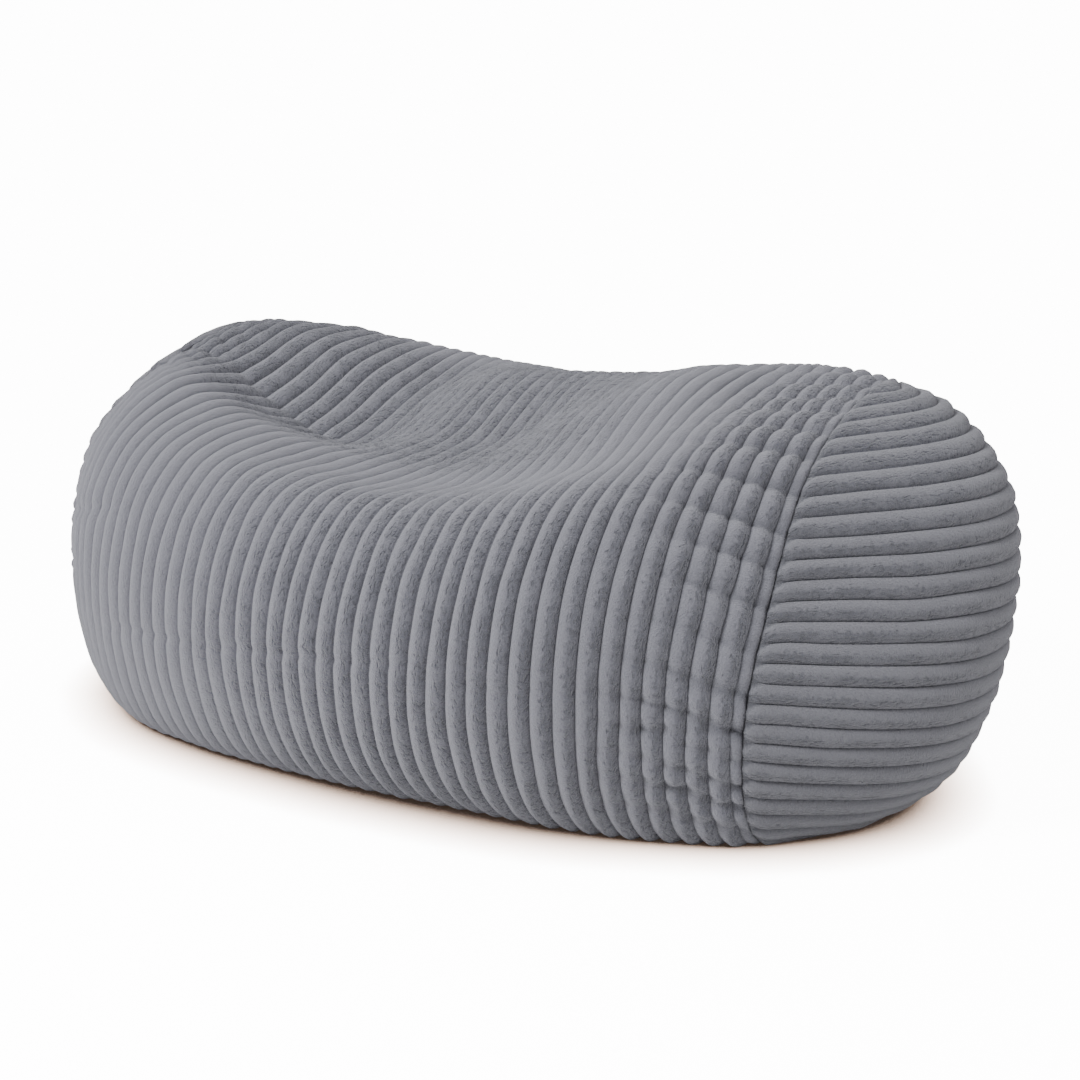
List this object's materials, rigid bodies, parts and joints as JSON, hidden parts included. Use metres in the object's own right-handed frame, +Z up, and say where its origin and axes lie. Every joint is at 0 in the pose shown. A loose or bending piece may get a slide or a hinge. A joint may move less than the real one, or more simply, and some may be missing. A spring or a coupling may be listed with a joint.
{
  "type": "long floor pouf",
  "caption": "Long bean-filled floor pouf in thick ribbed plush, with a seat pressed into its top and a bowed oval panel sewn into each end.",
  "frame": {"origin": "middle of the footprint's bounding box, on the floor", "axes": "+X along the pouf towards the fuller end panel, -Y its front, +Z up"},
  "size_m": [1.471, 0.93, 0.5362],
  "materials": {
    "body_plush": "matt ribbed plush with a short pile",
    "end_plush": "matt ribbed plush with a short pile"
  },
  "bodies": {
    "root": {"barrel": "body_plush", "end_panel_right": "end_plush", "end_panel_left": "end_plush"}
  },
  "joints": []
}
